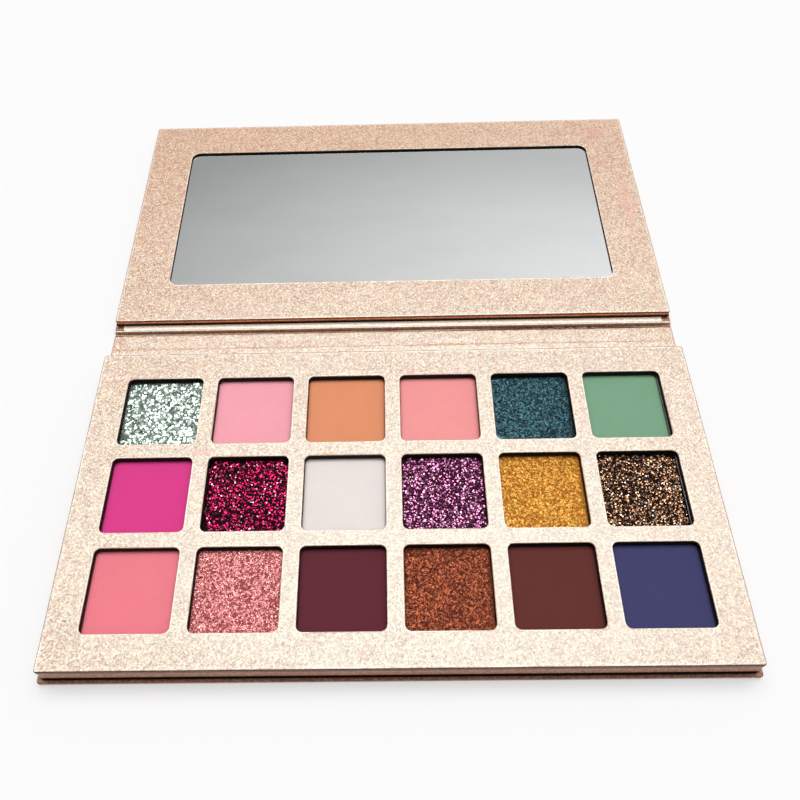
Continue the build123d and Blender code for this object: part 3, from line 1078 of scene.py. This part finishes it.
# By the start of the node's name; the longest start that fits is used
CAD_MATERIALS = {
    "pan_carrier": "black_plastic", "pan_glue_dots": "glue", "pan_": "pan_metal",
    "base_board": "greyboard", "spine_board": "greyboard", "lid_board": "greyboard",
    "lid_backing": "greyboard", "block_glue_sheet": "glue", "lid_glue_sheet": "glue",
    "window_card": "black_card", "mirror_frame_card": "black_card", "mirror_tape": "glue",
    "mirror": "mirror_glass", "base_magnets": "magnet_nickel", "lid_magnets": "magnet_nickel",
}
for name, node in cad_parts.items():
    if node.hide_render:
        continue
    start = max((key for key in CAD_MATERIALS if name.startswith(key)), key=len)
    node.data.materials.clear()
    node.data.materials.append(MATERIALS[CAD_MATERIALS[start]])


# ---------------------------------------- floor, light and camera

FLOOR_REACH = 9000.0
FLOOR_SIDES = 64
FLOOR_GAP = 0.05
FLOOR_SHADES = 0.37, 0.385
FLOOR_GLOW = 0.54


def floor():
    """A wide pale light table just under the case; its own glow keeps the shadow faint."""
    mesh = bpy.data.meshes.new("floor")
    turns = [2 * math.pi * i / FLOOR_SIDES for i in range(FLOOR_SIDES)]
    rim = [Vector((FLOOR_REACH * math.cos(t), FLOOR_REACH * math.sin(t), -FLOOR_GAP)) for t in turns]
    mesh.from_pydata([point * MM for point in rim], [], [tuple(range(FLOOR_SIDES))])
    s = Shader("floor")
    base = s.mix(s.noise(400.0, 2.0), *(grey(value) for value in FLOOR_SHADES))
    mesh.materials.append(s.finish(
        Base_Color=base, Roughness=0.9, Specular_IOR_Level=0.1,
        Emission_Color=grey(1.0), Emission_Strength=FLOOR_GLOW))
    made = bpy.data.objects.new("floor", mesh)
    bpy.context.scene.collection.objects.link(made)


# Brightness of the room by height: 0 straight down, 0.5 at the horizon, 1 straight up
ROOM_BY_HEIGHT = ((0.0, 0.50), (0.30, 0.45), (0.56, 0.40), (0.633, 0.45), (0.682, 0.59),
                  (0.731, 0.66), (1.0, 0.8))
ROOM_BY_DEPTH = (-0.6, 0.5, 0.42, 1.0)  # darker in front: from, to, and the two factors
ROOM_BY_SIDE = (-0.35, 0.35, 0.62, 1.38)  # darker on the left
SOFTBOX_ELEVATION = 68.5
SOFTBOX_HALF_ANGLE = 16.0
SOFTBOX_EDGE = 4.0  # degrees over which its edge fades, each way
SOFTBOX_WIDER = 0.46  # below 1 stretches the box to the sides
SOFTBOX_LIGHT = 5.0


def room_light(sky, direction):
    """Brightness of the pale room in a direction."""
    part = sky.add("SeparateXYZ", direction)
    height = sky.add("ValToRGB", part.outputs["Z"])
    ramp = height.color_ramp
    while len(ramp.elements) < len(ROOM_BY_HEIGHT):
        ramp.elements.new(0.5)
    for element, (where, value) in zip(ramp.elements, ROOM_BY_HEIGHT):
        element.position = where
        element.color = grey(value)
    by_depth = sky.add("MapRange", part.outputs["Y"], *ROOM_BY_DEPTH).outputs[0]
    by_side = sky.add("MapRange", part.outputs["X"], *ROOM_BY_SIDE).outputs[0]
    return sky.math("MULTIPLY", sky.math("MULTIPLY", by_depth, by_side), height.outputs["Color"])


def softbox_light(sky, direction):
    """Brightness of the big softbox overhead, a little behind the palette."""
    turn = math.radians(SOFTBOX_ELEVATION)
    narrow = sky.vector("MULTIPLY", direction, (SOFTBOX_WIDER, 1.0, 1.0))
    narrow = sky.vector("NORMALIZE", narrow)
    toward = sky.vector("DOT_PRODUCT", narrow, (0.0, math.cos(turn), math.sin(turn)))
    outer = math.cos(math.radians(SOFTBOX_HALF_ANGLE + SOFTBOX_EDGE))
    inner = math.cos(math.radians(SOFTBOX_HALF_ANGLE - SOFTBOX_EDGE))
    return sky.window(toward, outer, inner, 0.0, SOFTBOX_LIGHT)


def studio():
    """Soft studio light, all in the world's shader: a pale room and one big softbox."""
    world = bpy.data.worlds.new("studio")
    bpy.context.scene.world = world
    world.use_nodes = True
    sky = Nodes(world.node_tree)
    direction = sky.add("TexCoord").outputs["Generated"]
    total = sky.math("ADD", room_light(sky, direction), softbox_light(sky, direction))
    background = sky.add("Background", grey(1.0), total)
    output = sky.add("OutputWorld")
    sky.tree.links.new(background.outputs[0], output.inputs["Surface"])


CAMERA_PLACE = (-0.41, -120.17, 247.66)
CAMERA_DOWN = 56.66
CAMERA_LEFT = 1.87
CAMERA_ROLL = -2.475
CAMERA_LENS = 35.82
CAMERA_SENSOR = 36.0
CAMERA_SHIFT = 0.02875


def camera():
    """The photo's camera: above and in front, looking down at the palette."""
    lens = bpy.data.cameras.new("camera")
    lens.lens, lens.sensor_width, lens.shift_x = CAMERA_LENS, CAMERA_SENSOR, CAMERA_SHIFT
    lens.clip_start, lens.clip_end = 0.01, 50.0
    made = bpy.data.objects.new("camera", lens)
    bpy.context.scene.collection.objects.link(made)
    turn = Matrix.Rotation(math.radians(CAMERA_LEFT), 4, "Z")
    turn = turn @ Matrix.Rotation(math.radians(90 - CAMERA_DOWN), 4, "X")
    turn = turn @ Matrix.Rotation(math.radians(CAMERA_ROLL), 4, "Z")
    made.matrix_world = Matrix.Translation(Vector(CAMERA_PLACE) * MM) @ turn
    bpy.context.scene.camera = made


floor()
studio()
camera()
bpy.context.scene.view_settings.view_transform = "Standard"
